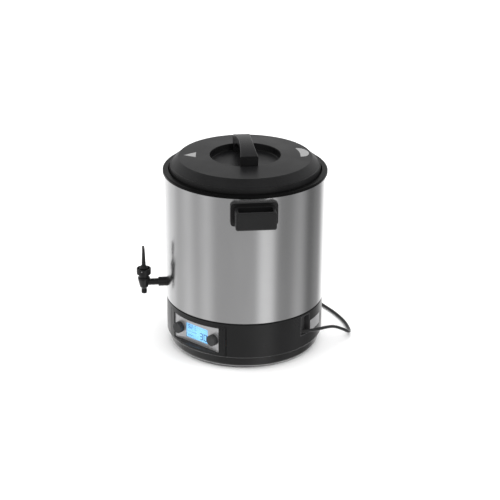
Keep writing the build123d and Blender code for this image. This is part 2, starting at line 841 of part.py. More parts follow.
block_spot = Vector(132, 12, pan_floor)
block_height = 16.0
with BuildPart() as terminal_block:
    with BuildSketch(Plane(origin=block_spot, x_dir=(1, 0, 0), z_dir=(0, 0, 1))):
        Rectangle(16, 34)
    extrude(amount=block_height)
    with BuildSketch(Plane(origin=block_spot + Vector(0, 0, block_height - 5))):
        with GridLocations(0, 10, 1, 2):
            Circle(2.2)
    extrude(amount=5, mode=Mode.SUBTRACT)
terminal_block.part.label = "terminal_block"
export_step(terminal_block.part, "parts/terminal_block.step")


def cord_radii(points):
    """Largest tangent arc at each inner corner: 0.45 of the shorter run."""
    found = []
    for before, corner, after in zip(points, points[1:], points[2:]):
        first = Vector(*corner) - Vector(*before)
        second = Vector(*after) - Vector(*corner)
        half_turn = radians(first.get_angle(second)) / 2
        found.append(0.45 * min(first.length, second.length) / tan(half_turn))
    return found


inner_start = relief_start - relief_way * relief_root
inner_points = [
    tuple(inner_start),
    tuple(inner_start - relief_way * 16),
    (block_spot.X, block_spot.Y, 46),
    (block_spot.X, block_spot.Y, pan_floor + block_height),
]
with BuildPart() as inner_lead:
    with BuildLine() as inner_route:
        FilletPolyline(*inner_points, radius=cord_radii(inner_points))
    with BuildSketch(Plane(origin=inner_route.line @ 0, z_dir=inner_route.line % 0)):
        Circle(cord_radius)
    sweep(path=inner_route.line)
inner_lead.part.label = "inner_lead"
export_step(inner_lead.part, "parts/inner_lead.step")

# The free cord drops beside the pot, lies behind it and ends in a tied coil with its plug.
cord_lie = cord_radius + 0.2
relief_end = relief_start + relief_way * relief_length
cord_points = [
    tuple(relief_end),
    tuple(relief_end + relief_way * 26),
    (190, 66, 59),
    (186, 96, 47),
    (188, 122, 32),
    (186, 148, 14),
    (166, 176, cord_lie),
    (128, 206, cord_lie),
    (76, 230, cord_lie),
    (20, 246, cord_lie),
    (-34, 278, cord_lie),
    (-92, 289.8, cord_lie),
]
with BuildPart() as cord:
    with BuildLine() as cord_route:
        FilletPolyline(*cord_points, radius=cord_radii(cord_points))
    with BuildSketch(Plane(origin=cord_route.line @ 0, z_dir=cord_route.line % 0)):
        Circle(cord_radius)
    sweep(path=cord_route.line)
cord.part.label = "cord"
export_step(cord.part, "parts/cord.step")
route_length = sum(edge.length for edge in cord_route.edges())
print("cord radii", [round(radius, 1) for radius in cord_radii(cord_points)])
print("cord length", round(route_length, 1))
print("cord volume ratio", cord.part.volume / (pi * cord_radius**2 * route_length))

coil_centre = Vector(-95, 240, 0)
plug_radius = 18.0
tail_points = [
    (-144.8, 246, cord_lie),
    (-147, 212, cord_lie),
    (-168, 185, 8),
    (-197, 174, plug_radius + 0.2),
    (-226, 170, plug_radius + 0.2),
]
with BuildPart() as cord_tail:
    with BuildLine() as tail_route:
        FilletPolyline(*tail_points, radius=cord_radii(tail_points))
    with BuildSketch(Plane(origin=tail_route.line @ 0, z_dir=tail_route.line % 0)):
        Circle(cord_radius)
    sweep(path=tail_route.line)
cord_tail.part.label = "cord_tail"
export_step(cord_tail.part, "parts/cord_tail.step")
print("tail radii", [round(radius, 1) for radius in cord_radii(tail_points)])

coil_half = cord_radius * coil_layers
with BuildPart() as cord_coil:
    with BuildSketch(Plane.XY):
        with Locations(coil_centre):
            Circle(coil_radius + coil_half)
            Circle(coil_radius - coil_half, mode=Mode.SUBTRACT)
    extrude(amount=2 * coil_half)
    fillet(cord_coil.edges().filter_by(GeomType.CIRCLE), radius=cord_radius)
cord_coil.part.label = "cord_coil"
export_step(cord_coil.part, "parts/cord_coil.step")

tie_width = 8.0
tie_wall = 1.0
tie_bearing = 110.0
tie_gap = 0.4
with BuildPart() as cord_tie:
    tie_spot = coil_centre + out(tie_bearing) * coil_radius + Vector(0, 0, coil_half)
    with BuildSketch(Plane(origin=tie_spot, x_dir=out(tie_bearing), z_dir=out(tie_bearing + 90))):
        RectangleRounded(
            2 * coil_half + 2 * tie_gap + 2 * tie_wall,
            2 * coil_half + tie_gap + 2 * tie_wall,
            cord_radius,
        )
        RectangleRounded(2 * coil_half + 2 * tie_gap, 2 * coil_half + tie_gap, 2, mode=Mode.SUBTRACT)
    extrude(amount=tie_width / 2, both=True)
    with BuildSketch(Plane.XY.offset(-5)):
        with Locations(coil_centre):
            Circle(2 * coil_radius)
    extrude(amount=5, mode=Mode.SUBTRACT)
cord_tie.part.label = "cord_tie"
export_step(cord_tie.part, "parts/cord_tie.step")

plug_front = 20.0
plug_length = 56.0
plug_tail_radius = 5.0
plug_pin_radius = 2.4
plug_pin_length = 19.0
plug_pin_half = 9.5
plug_way = (Vector(*tail_points[-1]) - Vector(*tail_points[-2])).normalized()
plug_plane = Plane(origin=tail_points[-1], x_dir=(0, 1, 0), z_dir=plug_way)
with BuildPart() as plug:
    with BuildSketch(plug_plane):
        Circle(plug_tail_radius)
    with BuildSketch(plug_plane.offset(plug_length - plug_front)):
        Circle(plug_radius - 4)
    loft()
    with BuildSketch(plug_plane.offset(plug_length - plug_front)):
        Circle(plug_radius)
    extrude(amount=plug_front)
    fillet(plug.faces().sort_by(Axis.X)[0].edges(), radius=1.5)
plug.part.label = "plug"
export_step(plug.part, "parts/plug.step")

with BuildPart() as plug_pins:
    with BuildSketch(plug_plane.offset(plug_length)):
        with Locations((-plug_pin_half, 0), (plug_pin_half, 0)):
            Circle(plug_pin_radius)
    extrude(amount=plug_pin_length)
    fillet(plug_pins.faces().sort_by(Axis.X)[0:2].edges(), radius=1.2)
plug_pins.part.label = "plug_pins"
export_step(plug_pins.part, "parts/plug_pins.step")

# A bare plate for the rating data, bent to the band.
badge_bearing = 105.0
badge_half_angle = 8.2
badge_height = 25.0
badge_low = housing_bottom + 32.0
with BuildPart() as rating_plate:
    with BuildSketch(Plane.XY.offset(badge_low)):
        Circle(housing_radius + 0.55)
        Circle(housing_radius + 0.05, mode=Mode.SUBTRACT)
        with BuildLine():
            Line((0, 0), out(badge_bearing - badge_half_angle) * 2 * housing_radius)
            Line(
                out(badge_bearing - badge_half_angle) * 2 * housing_radius,
                out(badge_bearing + badge_half_angle) * 2 * housing_radius,
            )
            Line(out(badge_bearing + badge_half_angle) * 2 * housing_radius, (0, 0))
        make_face(mode=Mode.INTERSECT)
    extrude(amount=badge_height)
rating_plate.part.label = "rating_plate"
export_step(rating_plate.part, "parts/rating_plate.step")

# ================= side handles =================

plate_low = sleeve_top - side_plate_drop
grip_low = plate_low + 3.5
side_back = sleeve_radius + 0.2
side_face = sleeve_radius + side_plate_reach
side_front = sleeve_radius + side_grip_reach
pocket_inner = side_face + side_grip_wall
pocket_outer = side_front - side_grip_wall
web_low = grip_low + side_grip_height * 0.56
pocket_middle = (pocket_inner + pocket_outer) / 2
pocket_depth = pocket_outer - pocket_inner
pocket_width = 2 * (side_grip_half - side_grip_wall)

for name, bearing in zip(("side_handle_right", "side_handle_left"), side_bearings):
    with BuildPart() as side_handle:
        with BuildSketch(facing(bearing, side_back - 12)):
            with Locations((0, plate_low + side_plate_height / 2)):
                RectangleRounded(2 * side_plate_half, side_plate_height, 7)
        extrude(amount=side_face - side_back + 12)
        with BuildSketch(facing(bearing, side_face)):
            with Locations((0, grip_low + side_grip_height / 2)):
                RectangleRounded(2 * side_grip_half, side_grip_height, 5)
        extrude(amount=side_front - side_face)
        front = side_handle.faces().filter_by(Plane(origin=(0, 0, 0), z_dir=out(bearing)))
        fillet(front.sort_by(Axis((0, 0, 0), out(bearing)))[-1].edges(), radius=4.5)
        with BuildSketch(level(bearing, pocket_middle, grip_low - 1)):
            RectangleRounded(pocket_depth, pocket_width, 5)
        extrude(amount=web_low - grip_low + 1, mode=Mode.SUBTRACT)
        with BuildSketch(level(bearing, pocket_middle, web_low + side_web_height)):
            RectangleRounded(pocket_depth, pocket_width, 5)
        extrude(amount=side_grip_height, mode=Mode.SUBTRACT)
        with BuildSketch(Plane.XY.offset(plate_low - 5)):
            Circle(side_back)
        extrude(amount=side_plate_height + 10, mode=Mode.SUBTRACT)
        with BuildSketch(facing(bearing, 150)):
            with Locations(*side_screw_points):
                Circle(side_screw_radius + screw_gap)
        extrude(amount=pocket_inner - 2 - 150, mode=Mode.SUBTRACT)
    side_handle.part.label = name
    export_step(side_handle.part, f"parts/{name}.step")

bracket_half = 38.0
bracket_wall = 2.0
bracket_height = 30.0
bracket_outer = sleeve_radius - sleeve_wall - 0.05
with BuildPart() as handle_brackets:
    for plane in side_planes:
        with BuildSketch(plane.offset(100)):
            with Locations((0, side_screw_level)):
                Rectangle(2 * bracket_half, bracket_height)
        extrude(amount=100)
    with BuildSketch(Plane.XY):
        Circle(bracket_outer)
        Circle(bracket_outer - bracket_wall, mode=Mode.SUBTRACT)
    extrude(amount=sleeve_top, mode=Mode.INTERSECT)
    with BuildSketch(*side_planes):
        with Locations(*side_screw_points):
            Circle(side_screw_radius + screw_gap)
    extrude(amount=200, mode=Mode.SUBTRACT)
handle_brackets.part.label = "handle_brackets"
export_step(handle_brackets.part, "parts/handle_brackets.step")

# Screw heads bear on the bracket's inner face beside its curve.
head_seat = sqrt((bracket_outer - bracket_wall) ** 2 - (side_screw_half + 4.5) ** 2)
with BuildPart() as handle_screws:
    with BuildSketch(*[plane.offset(head_seat - 2.6) for plane in side_planes]):
        with Locations(*side_screw_points):
            Circle(4)
    extrude(amount=2.6)
    with BuildSketch(*[plane.offset(head_seat) for plane in side_planes]):
        with Locations(*side_screw_points):
            Circle(side_screw_radius)
    extrude(amount=pocket_inner - 3 - head_seat)
handle_screws.part.label = "handle_screws"
export_step(handle_screws.part, "parts/handle_screws.step")

# ================= lid =================

lid_bottom = ledge_top + body_gap
skirt_radius = mouth_radius - lid_side_gap
skirt_top = lid_bottom + skirt_height
crease_level = skirt_top + crease_height
crown_level = crease_level + crown_height
dish_floor = crown_level - dish_depth
shoulder_step = 3.0

with BuildPart() as lid_shell:
    with BuildSketch(Plane.XZ):
        with BuildLine():
            FilletPolyline(
                (0, dish_floor),
                (dish_radius - 2, dish_floor),
                (dish_radius, crown_level),
                (crease_radius, crease_level),
                (skirt_radius - skirt_lean - shoulder_step, skirt_top),
                (skirt_radius - skirt_lean, skirt_top),
                (skirt_radius, lid_bottom),
                (skirt_radius - lid_wall, lid_bottom),
                (skirt_radius - skirt_lean - lid_wall, skirt_top - lid_wall),
                (skirt_radius - skirt_lean - shoulder_step - 1, skirt_top - lid_wall),
                (crease_radius - 1, crease_level - lid_wall),
                (dish_radius + lid_wall, crown_level - lid_wall),
                (dish_radius + lid_wall - 2, dish_floor - lid_wall),
                (0, dish_floor - lid_wall),
                radius=[0, 2.5, 1.5, 2.5, 0, 0.7, 0, 0, 0, 0, 1.5, 0.5, 3.5, 0],
                close=True,
            )
        make_face()
    revolve(axis=Axis.Z)
    with BuildSketch(Plane.XY.offset(dish_floor - 5)):
        with Locations(level(lid_grip_bearing, 0, 0)):
            with GridLocations(lid_grip_length - lid_leg_length, 1, 2, 1):
                Circle(2.6)
    extrude(amount=10, mode=Mode.SUBTRACT)
lid_shell.part.label = "lid_shell"
export_step(lid_shell.part, "parts/lid_shell.step")

grip_half = lid_grip_length / 2
grip_end_top = crown_level + lid_grip_rise
leg_inner = grip_half - lid_leg_length
grip_under = grip_end_top + lid_grip_arch - lid_grip_thickness

with BuildPart() as lid_handle:
    with BuildSketch(slice_through(lid_grip_bearing)):
        with BuildLine():
            Line((-grip_half + 2.5, dish_floor), (-grip_half, grip_end_top))
            ThreePointArc(
                (-grip_half, grip_end_top),
                (0, grip_end_top + lid_grip_arch),
                (grip_half, grip_end_top),
            )
            Line((grip_half, grip_end_top), (grip_half - 2.5, dish_floor))
            Line((grip_half - 2.5, dish_floor), (leg_inner, dish_floor))
            Line((leg_inner, dish_floor), (leg_inner, crown_level))
            ThreePointArc((leg_inner, crown_level), (0, grip_under), (-leg_inner, crown_level))
            Line((-leg_inner, crown_level), (-leg_inner, dish_floor))
            Line((-leg_inner, dish_floor), (-grip_half + 2.5, dish_floor))
        make_face()
    extrude(amount=lid_grip_width / 2, both=True)
    with BuildSketch(level(lid_grip_bearing, 0, dish_floor)):
        with BuildLine():
            Line((-grip_half, -lid_grip_width / 2), (-grip_half, lid_grip_width / 2))
            ThreePointArc(
                (-grip_half, lid_grip_width / 2),
                (0, lid_grip_waist / 2),
                (grip_half, lid_grip_width / 2),
            )
            Line((grip_half, lid_grip_width / 2), (grip_half, -lid_grip_width / 2))
            ThreePointArc(
                (grip_half, -lid_grip_width / 2),
                (0, -lid_grip_waist / 2),
                (-grip_half, -lid_grip_width / 2),
            )
        make_face()
    extrude(amount=100, mode=Mode.INTERSECT)
    fillet(lid_handle.edges().filter_by(lambda edge: edge.center().Z > grip_end_top), radius=2.5)
    with BuildSketch(Plane.XZ):
        with BuildLine():
            Polyline(
                (dish_radius - 4.8, dish_floor),
                (dish_radius - 2.2, dish_floor + 3),
                (dish_radius - 0.3, crown_level + 1),
                (dish_radius + 20, crown_level + 1),
                (dish_radius + 20, dish_floor),
                close=True,
            )
        make_face()
    revolve(axis=Axis.Z, mode=Mode.SUBTRACT)
    with BuildSketch(level(lid_grip_bearing, 0, dish_floor)):
        with GridLocations(lid_grip_length - lid_leg_length, 1, 2, 1):
            Circle(2.2)
    extrude(amount=14, mode=Mode.SUBTRACT)
lid_handle.part.label = "lid_handle"
export_step(lid_handle.part, "parts/lid_handle.step")

with BuildPart() as lid_screws:
    with BuildSketch(level(lid_grip_bearing, 0, dish_floor - lid_wall - 2.4)):
        with GridLocations(lid_grip_length - lid_leg_length, 1, 2, 1):
            Circle(4.2)
    extrude(amount=2.4)
    with BuildSketch(level(lid_grip_bearing, 0, dish_floor - lid_wall)):
        with GridLocations(lid_grip_length - lid_leg_length, 1, 2, 1):
            Circle(2.1)
    extrude(amount=14)
lid_screws.part.label = "lid_screws"
export_step(lid_screws.part, "parts/lid_screws.step")

# ================= tap =================

tap_slice = slice_through(tap_bearing, tap_reach)
tap_axis = Axis(tuple(out(tap_bearing) * tap_reach), (0, 0, 1))
nozzle_low = tap_pipe_height - 26.0
nozzle_top = nozzle_low + nozzle_length
valve_seat = tap_pipe_height - tap_pipe_bore - 0.5
cap_low = tap_pipe_height + 20.0
cup_floor = cap_low + cap_height - cup_depth
pivot_level = cap_low + 10.0
inlet_end = pot_radius - tap_nut_length - 4.0
spigot_length = 3.0

with BuildPart() as tap_body:
    with BuildSketch(tap_slice):
        with BuildLine():
            FilletPolyline(
                (0, nozzle_low),
                (nozzle_radius, nozzle_low),
                (nozzle_radius, nozzle_top),
                (valve_radius - 4.2, nozzle_top + 4),
                (valve_radius, cap_low - 12),
                (valve_radius, cap_low - 8),
                (valve_radius - 2.5, cap_low - 7),
                (valve_radius - 2.5, cap_low),
                (0, cap_low),
                radius=[0, 1.5, 0, 2, 0, 1.5, 0, 0, 0],
                close=True,
            )
        make_face()
    revolve(axis=tap_axis)
    with BuildSketch(facing(tap_bearing, inlet_end)):
        with Locations((0, tap_pipe_height)):
            Circle(tap_pipe_radius)
    extrude(amount=tap_reach - inlet_end)
    with BuildSketch(level(tap_bearing, tap_reach, valve_seat)):
        Circle(valve_bore)
    extrude(amount=60, mode=Mode.SUBTRACT)
    with BuildSketch(level(tap_bearing, tap_reach, nozzle_low)):
        Circle(nozzle_bore)
    extrude(amount=30, mode=Mode.SUBTRACT)
    with BuildSketch(facing(tap_bearing, inlet_end)):
        with Locations((0, tap_pipe_height)):
            Circle(tap_pipe_bore)
    extrude(amount=tap_reach - inlet_end, mode=Mode.SUBTRACT)
tap_body.part.label = "tap_body"
export_step(tap_body.part, "parts/tap_body.step")

with BuildPart() as tap_union:
    with BuildSketch(facing(tap_bearing, sleeve_radius - 5)):
        with Locations((0, tap_pipe_height)):
            Circle(tap_union_radius)
            Circle(tap_pipe_radius + press_gap, mode=Mode.SUBTRACT)
    extrude(amount=tap_union_length + 5)
    with BuildSketch(Plane.XY.offset(tap_pipe_height - 20)):
        Circle(sleeve_radius + 0.1)
    extrude(amount=40, mode=Mode.SUBTRACT)
    fillet(tap_union.edges().sort_by(Axis((0, 0, 0), out(tap_bearing)))[-1], radius=1.0)
tap_union.part.label = "tap_union"
export_step(tap_union.part, "parts/tap_union.step")

with BuildPart() as tap_nut:
    with BuildSketch(facing(tap_bearing, inlet_end + 1.0)):
        with Locations((0, tap_pipe_height)):
            RegularPolygon(tap_nut_radius, 6)
            Circle(tap_pipe_radius + press_gap, mode=Mode.SUBTRACT)
    extrude(amount=tap_nut_length - 1.0)
tap_nut.part.label = "tap_nut"
export_step(tap_nut.part, "parts/tap_nut.step")

gasket_radius = tap_nut_radius - 1.5
with BuildPart() as tap_gasket_inner:
    with BuildSketch(facing(tap_bearing, inlet_end + tap_nut_length)):
        with Locations((0, tap_pipe_height)):
            Circle(gasket_radius)
            Circle(tap_pipe_radius + press_gap, mode=Mode.SUBTRACT)
    extrude(amount=12)
    with BuildSketch(Plane.XY.offset(tap_pipe_height - 30)):
        Circle(pot_radius - 0.05)
    extrude(amount=60, mode=Mode.INTERSECT)
tap_gasket_inner.part.label = "tap_gasket_inner"
export_step(tap_gasket_inner.part, "parts/tap_gasket_inner.step")

with BuildPart() as tap_spacer:
    with BuildSketch(facing(tap_bearing, pot_radius)):
        with Locations((0, tap_pipe_height)):
            Circle(gasket_radius)
            Circle(tap_pipe_radius + press_gap, mode=Mode.SUBTRACT)
    extrude(amount=20)
    with BuildSketch(Plane.XY.offset(tap_pipe_height - 30)):
        Circle(sleeve_radius - sleeve_wall - 0.05)
        Circle(pot_outer + 0.05, mode=Mode.SUBTRACT)
    extrude(amount=60, mode=Mode.INTERSECT)
tap_spacer.part.label = "tap_spacer"
export_step(tap_spacer.part, "parts/tap_spacer.step")

with BuildPart() as tap_cap:
    with BuildSketch(tap_slice):
        with BuildLine():
            FilletPolyline(
                (0, cap_low),
                (cap_radius, cap_low),
                (cap_radius, cap_low + cap_height),
                (cup_radius, cap_low + cap_height),
                (cup_radius, cup_floor),
                (0, cup_floor),
                radius=[0, 1.5, 1.0, 0.6, 0, 0],
                close=True,
            )
        make_face()
    revolve(axis=tap_axis)
    with BuildSketch(level(tap_bearing, tap_reach, cap_low - spigot_length)):
        Circle(valve_bore - 0.1)
    extrude(amount=spigot_length)
    with BuildSketch(level(tap_bearing, tap_reach, cap_low - spigot_length)):
        Circle(stem_radius + running_gap)
    extrude(amount=20, mode=Mode.SUBTRACT)
    with BuildSketch(slice_through(tap_bearing, tap_reach)):
        with Locations((crank_arm, pivot_level)):
            Circle(pivot_radius + press_gap)
    extrude(amount=30, both=True, mode=Mode.SUBTRACT)
tap_cap.part.label = "tap_cap"
export_step(tap_cap.part, "parts/tap_cap.step")

with BuildPart() as tap_pivot_pin:
    with BuildSketch(slice_through(tap_bearing, tap_reach)):
        with Locations((crank_arm, pivot_level)):
            Circle(pivot_radius)
    extrude(amount=cap_radius - 1.5, both=True)
tap_pivot_pin.part.label = "tap_pivot_pin"
export_step(tap_pivot_pin.part, "parts/tap_pivot_pin.step")

seal_low = valve_seat + body_gap
seal_wall = 4.0
flange_wall = 1.6
tongue_half = 3.4
tongue_wall = 3.0
tongue_rise = 2.3
lever_slot_skin = 0.5
crank_play = 0.08
with BuildPart() as tap_seal:
    with BuildSketch(level(tap_bearing, tap_reach, seal_low)):
        Circle(seal_radius)
    extrude(amount=seal_wall)
tap_seal.part.label = "tap_seal"
export_step(tap_seal.part, "parts/tap_seal.step")

with BuildPart() as tap_stem:
    with BuildSketch(level(tap_bearing, tap_reach, seal_low + seal_wall)):
        Circle(seal_radius - 1)
    extrude(amount=flange_wall)
    with BuildSketch(level(tap_bearing, tap_reach, seal_low + seal_wall)):
        Circle(stem_radius)
    extrude(amount=pivot_level + tongue_rise - seal_low - seal_wall)
    with BuildSketch(tap_slice):
        with Locations((0, cup_floor + 10)):
            Rectangle(20, 16)
    extrude(amount=tongue_wall / 2 + 5, both=True, mode=Mode.SUBTRACT)
    with BuildSketch(level(tap_bearing, tap_reach, cup_floor + 2)):
        Rectangle(2 * tongue_half, tongue_wall)
    extrude(amount=pivot_level + tongue_rise - cup_floor - 2)
    with BuildSketch(tap_slice):
        with Locations((0.25, pivot_level)):
            SlotCenterToCenter(0.6, 2 * (crank_radius + crank_play))
    extrude(amount=5, both=True, mode=Mode.SUBTRACT)
tap_stem.part.label = "tap_stem"
export_step(tap_stem.part, "parts/tap_stem.step")

tap_spring_low = seal_low + seal_wall + flange_wall + spring_wire
tap_spring_length = cap_low - spigot_length - spring_wire - tap_spring_low
with BuildPart() as tap_spring:
    with BuildLine(level(tap_bearing, tap_reach, tap_spring_low)) as tap_coil:
        Helix(tap_spring_length / 5, tap_spring_length, stem_radius + 1.7)
    with BuildSketch(Plane(origin=tap_coil.line @ 0, z_dir=tap_coil.line % 0)):
        Circle(spring_wire)
    sweep(path=tap_coil.line, is_frenet=True)
tap_spring.part.label = "tap_spring"
export_step(tap_spring.part, "parts/tap_spring.step")

lever_low = pivot_level - 5.0
foot_top = cap_low + cap_height + 0.5
waist_level = foot_top + 7.0
lever_top = foot_top - 4.0 + lever_height
foot_half_width = 7.0
paddle_wall = 5.5
with BuildPart() as tap_lever:
    with BuildSketch(level(tap_bearing, tap_reach, lever_low + 1)):
        with Locations((1.2, 0)):
            RectangleRounded(17, 2 * foot_half_width, 3)
    extrude(amount=foot_top - lever_low - 1)
    with BuildSketch(level(tap_bearing, tap_reach, foot_top)):
        Circle(9.3)
    with BuildSketch(level(tap_bearing, tap_reach, waist_level)):
        Circle(lever_waist / 2)
    loft()
    with BuildSketch(level(tap_bearing, tap_reach, waist_level)):
        RectangleRounded(lever_waist - 0.2, lever_waist - 0.2, lever_waist / 2 - 0.3)
    with BuildSketch(level(tap_bearing, tap_reach, lever_top)):
        RectangleRounded(paddle_wall, lever_width, paddle_wall / 2 - 0.1)
    loft()
    fillet(tap_lever.edges().group_by(Axis.Z)[-1], radius=1.2)
    with BuildSketch(level(tap_bearing, tap_reach, lever_low - 1)):
        with Locations((-2, 0)):
            Rectangle(20, lever_slot)
    extrude(amount=foot_top - lever_slot_skin - lever_low + 1, mode=Mode.SUBTRACT)
    with BuildSketch(tap_slice):
        with Locations((crank_arm, pivot_level)):
            Circle(pivot_radius + running_gap)
    extrude(amount=20, both=True, mode=Mode.SUBTRACT)
    with BuildSketch(tap_slice):
        with Locations((0, pivot_level)):
            Circle(crank_radius + press_gap)
    extrude(amount=20, both=True, mode=Mode.SUBTRACT)
tap_lever.part.label = "tap_lever"
export_step(tap_lever.part, "parts/tap_lever.step")

with BuildPart() as tap_crank_pin:
    with BuildSketch(tap_slice):
        with Locations((0, pivot_level)):
            Circle(crank_radius)
    extrude(amount=foot_half_width - 0.5, both=True)
tap_crank_pin.part.label = "tap_crank_pin"
export_step(tap_crank_pin.part, "parts/tap_crank_pin.step")

print("lid height", round(grip_end_top + lid_grip_arch, 1))
print("levels", housing_top, sleeve_bottom, sleeve_top, rim_top, ledge_top)
print("tap pipe, pivot and cap", tap_pipe_height, pivot_level, cap_low)
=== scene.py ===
import math

import bmesh
import bpy
from mathutils import Matrix, Vector


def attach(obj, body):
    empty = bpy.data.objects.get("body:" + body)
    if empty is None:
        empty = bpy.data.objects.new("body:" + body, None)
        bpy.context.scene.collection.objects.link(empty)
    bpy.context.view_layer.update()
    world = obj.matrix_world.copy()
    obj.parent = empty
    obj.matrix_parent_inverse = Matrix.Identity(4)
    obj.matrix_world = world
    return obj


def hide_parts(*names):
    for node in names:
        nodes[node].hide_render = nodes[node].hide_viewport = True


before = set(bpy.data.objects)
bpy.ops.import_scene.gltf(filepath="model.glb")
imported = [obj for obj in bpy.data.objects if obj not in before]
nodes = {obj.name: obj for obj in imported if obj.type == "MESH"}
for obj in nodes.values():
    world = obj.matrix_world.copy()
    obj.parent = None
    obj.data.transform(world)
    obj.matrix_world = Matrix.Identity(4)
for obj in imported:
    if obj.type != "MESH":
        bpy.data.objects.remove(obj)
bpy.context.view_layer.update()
mm = 0.001
print("frame loaded:", len(nodes), "nodes")


def link(thing):
    bpy.context.scene.collection.objects.link(thing)
    return thing


def outWay(bearing):
    # bearings run from -Y towards +X, in degrees
    return Vector((math.sin(math.radians(bearing)), -math.cos(math.radians(bearing)), 0))


def pieceFrom(shape, name, body, finish, stands=(), smoothAngle=35):
    # merges, turns the faces outwards, shades and hands the piece to its body
    bmesh.ops.remove_doubles(shape, verts=shape.verts, dist=1e-6)
    bmesh.ops.recalc_face_normals(shape, faces=shape.faces)
    limit = math.radians(smoothAngle)
    for edge in shape.edges:
        edge.smooth = len(edge.link_faces) == 2 and edge.calc_face_angle(0) < limit
    for face in shape.faces:
        face.smooth = True
    mesh = bpy.data.meshes.new(name)
    shape.to_mesh(mesh)
    shape.free()
    piece = link(bpy.data.objects.new(name, mesh))
    mesh.materials.append(finish)
    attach(piece, body)
    if stands:
        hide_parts(*stands)
    return piece


def spunShape(points, steps, centre=(0, 0, 0)):
    # a closed outline of (radius, height) points in millimetres, turned all the way round
    shape = bmesh.new()
    corners = [shape.verts.new((radius * mm, 0, height * mm)) for radius, height in points]
    rim = [
        shape.edges.new((corners[k], corners[(k + 1) % len(corners)]))
        for k in range(len(corners))
    ]
    bmesh.ops.spin(
        shape, geom=corners + rim, cent=centre, axis=(0, 0, 1),
        angle=2 * math.pi, steps=steps, use_merge=True,
    )
    return shape


cameraSet = {
    "place": (2.107, -2.449, 1.572),
    "aim": (0.0089, 0.0076, 0.2109),
    "lens": 113.56,
    "sensor": 36.0,
    "roll": 0.37,
    "clip": (0.1, 60),
}


def makeCamera(c):
    lens = bpy.data.cameras.new("camera")
    lens.lens = c["lens"]
    lens.sensor_width = c["sensor"]
    lens.clip_start, lens.clip_end = c["clip"]
    camera = link(bpy.data.objects.new("camera", lens))
    place = Vector(c["place"])
    turn = (Vector(c["aim"]) - place).to_track_quat("-Z", "Y").to_matrix().to_4x4()
    roll = Matrix.Rotation(math.radians(c["roll"]), 4, "Z")
    camera.matrix_world = Matrix.Translation(place) @ turn @ roll
    bpy.context.scene.camera = camera


makeCamera(cameraSet)
print("camera set")


def startFinish(name):
    material = bpy.data.materials.new(name)
    material.use_nodes = True
    tree = material.node_tree
    shader = tree.nodes["Principled BSDF"]
    return material, tree, shader


def grainOf(tree, scale, stretch=(1, 1, 1), detail=3.0, roughness=0.55):
    # fine noise on object coordinates; scale is per metre
    place = tree.nodes.new("ShaderNodeTexCoord")
    mapping = tree.nodes.new("ShaderNodeMapping")
    mapping.inputs["Scale"].default_value = stretch
    noise = tree.nodes.new("ShaderNodeTexNoise")
    noise.inputs["Scale"].default_value = scale
    noise.inputs["Detail"].default_value = detail
    noise.inputs["Roughness"].default_value = roughness
    tree.links.new(place.outputs["Object"], mapping.inputs["Vector"])
    tree.links.new(mapping.outputs["Vector"], noise.inputs["Vector"])
    return noise.outputs["Fac"]


def spread(tree, source, low, high, start=0.3, end=0.7):
    # maps the grain's middle onto low..high
    fit = tree.nodes.new("ShaderNodeMapRange")
    fit.inputs["From Min"].default_value = start
    fit.inputs["From Max"].default_value = end
    fit.inputs["To Min"].default_value = low
    fit.inputs["To Max"].default_value = high
    tree.links.new(source, fit.inputs["Value"])
    return fit.outputs["Result"]


def tint(tree, source, dark, light):
    ramp = tree.nodes.new("ShaderNodeValToRGB")
    ramp.color_ramp.elements[0].position = 0.3
    ramp.color_ramp.elements[1].position = 0.7
    ramp.color_ramp.elements[0].color = (*dark, 1)
    ramp.color_ramp.elements[1].color = (*light, 1)
    tree.links.new(source, ramp.inputs["Fac"])
    return ramp.outputs["Color"]


def dent(tree, shader, source, strength, depth):
    bump = tree.nodes.new("ShaderNodeBump")
    bump.inputs["Strength"].default_value = strength
    bump.inputs["Distance"].default_value = depth
    tree.links.new(source, bump.inputs["Height"])
    tree.links.new(bump.outputs["Normal"], shader.inputs["Normal"])


# what every plain finish shares
plainSet = {"cloud": 14, "cloudDetail": 4, "shade": 0.12, "skinDepth": 0.0002}


def solidFinish(name, c):
    # paint, plastic, rubber or bare metal: two tones of grain, uneven gloss and a fine skin
    material, tree, shader = startFinish(name)
    fine = grainOf(tree, c["grain"])
    cloud = grainOf(tree, plainSet["cloud"], detail=plainSet["cloudDetail"])
    shade = c.get("shade", plainSet["shade"])
    dark = tuple(v * (1 - shade) for v in c["colour"])
    light = tuple(min(1, v * (1 + shade)) for v in c["colour"])
    tree.links.new(tint(tree, cloud, dark, light), shader.inputs["Base Color"])
    low, high = c["rough"]
    tree.links.new(spread(tree, cloud, low, high), shader.inputs["Roughness"])
    shader.inputs["Metallic"].default_value = c.get("metal", 0)
    shader.inputs["Specular IOR Level"].default_value = c.get("shine", 0.5)
    dent(tree, shader, fine, c["skin"], plainSet["skinDepth"])
    return material


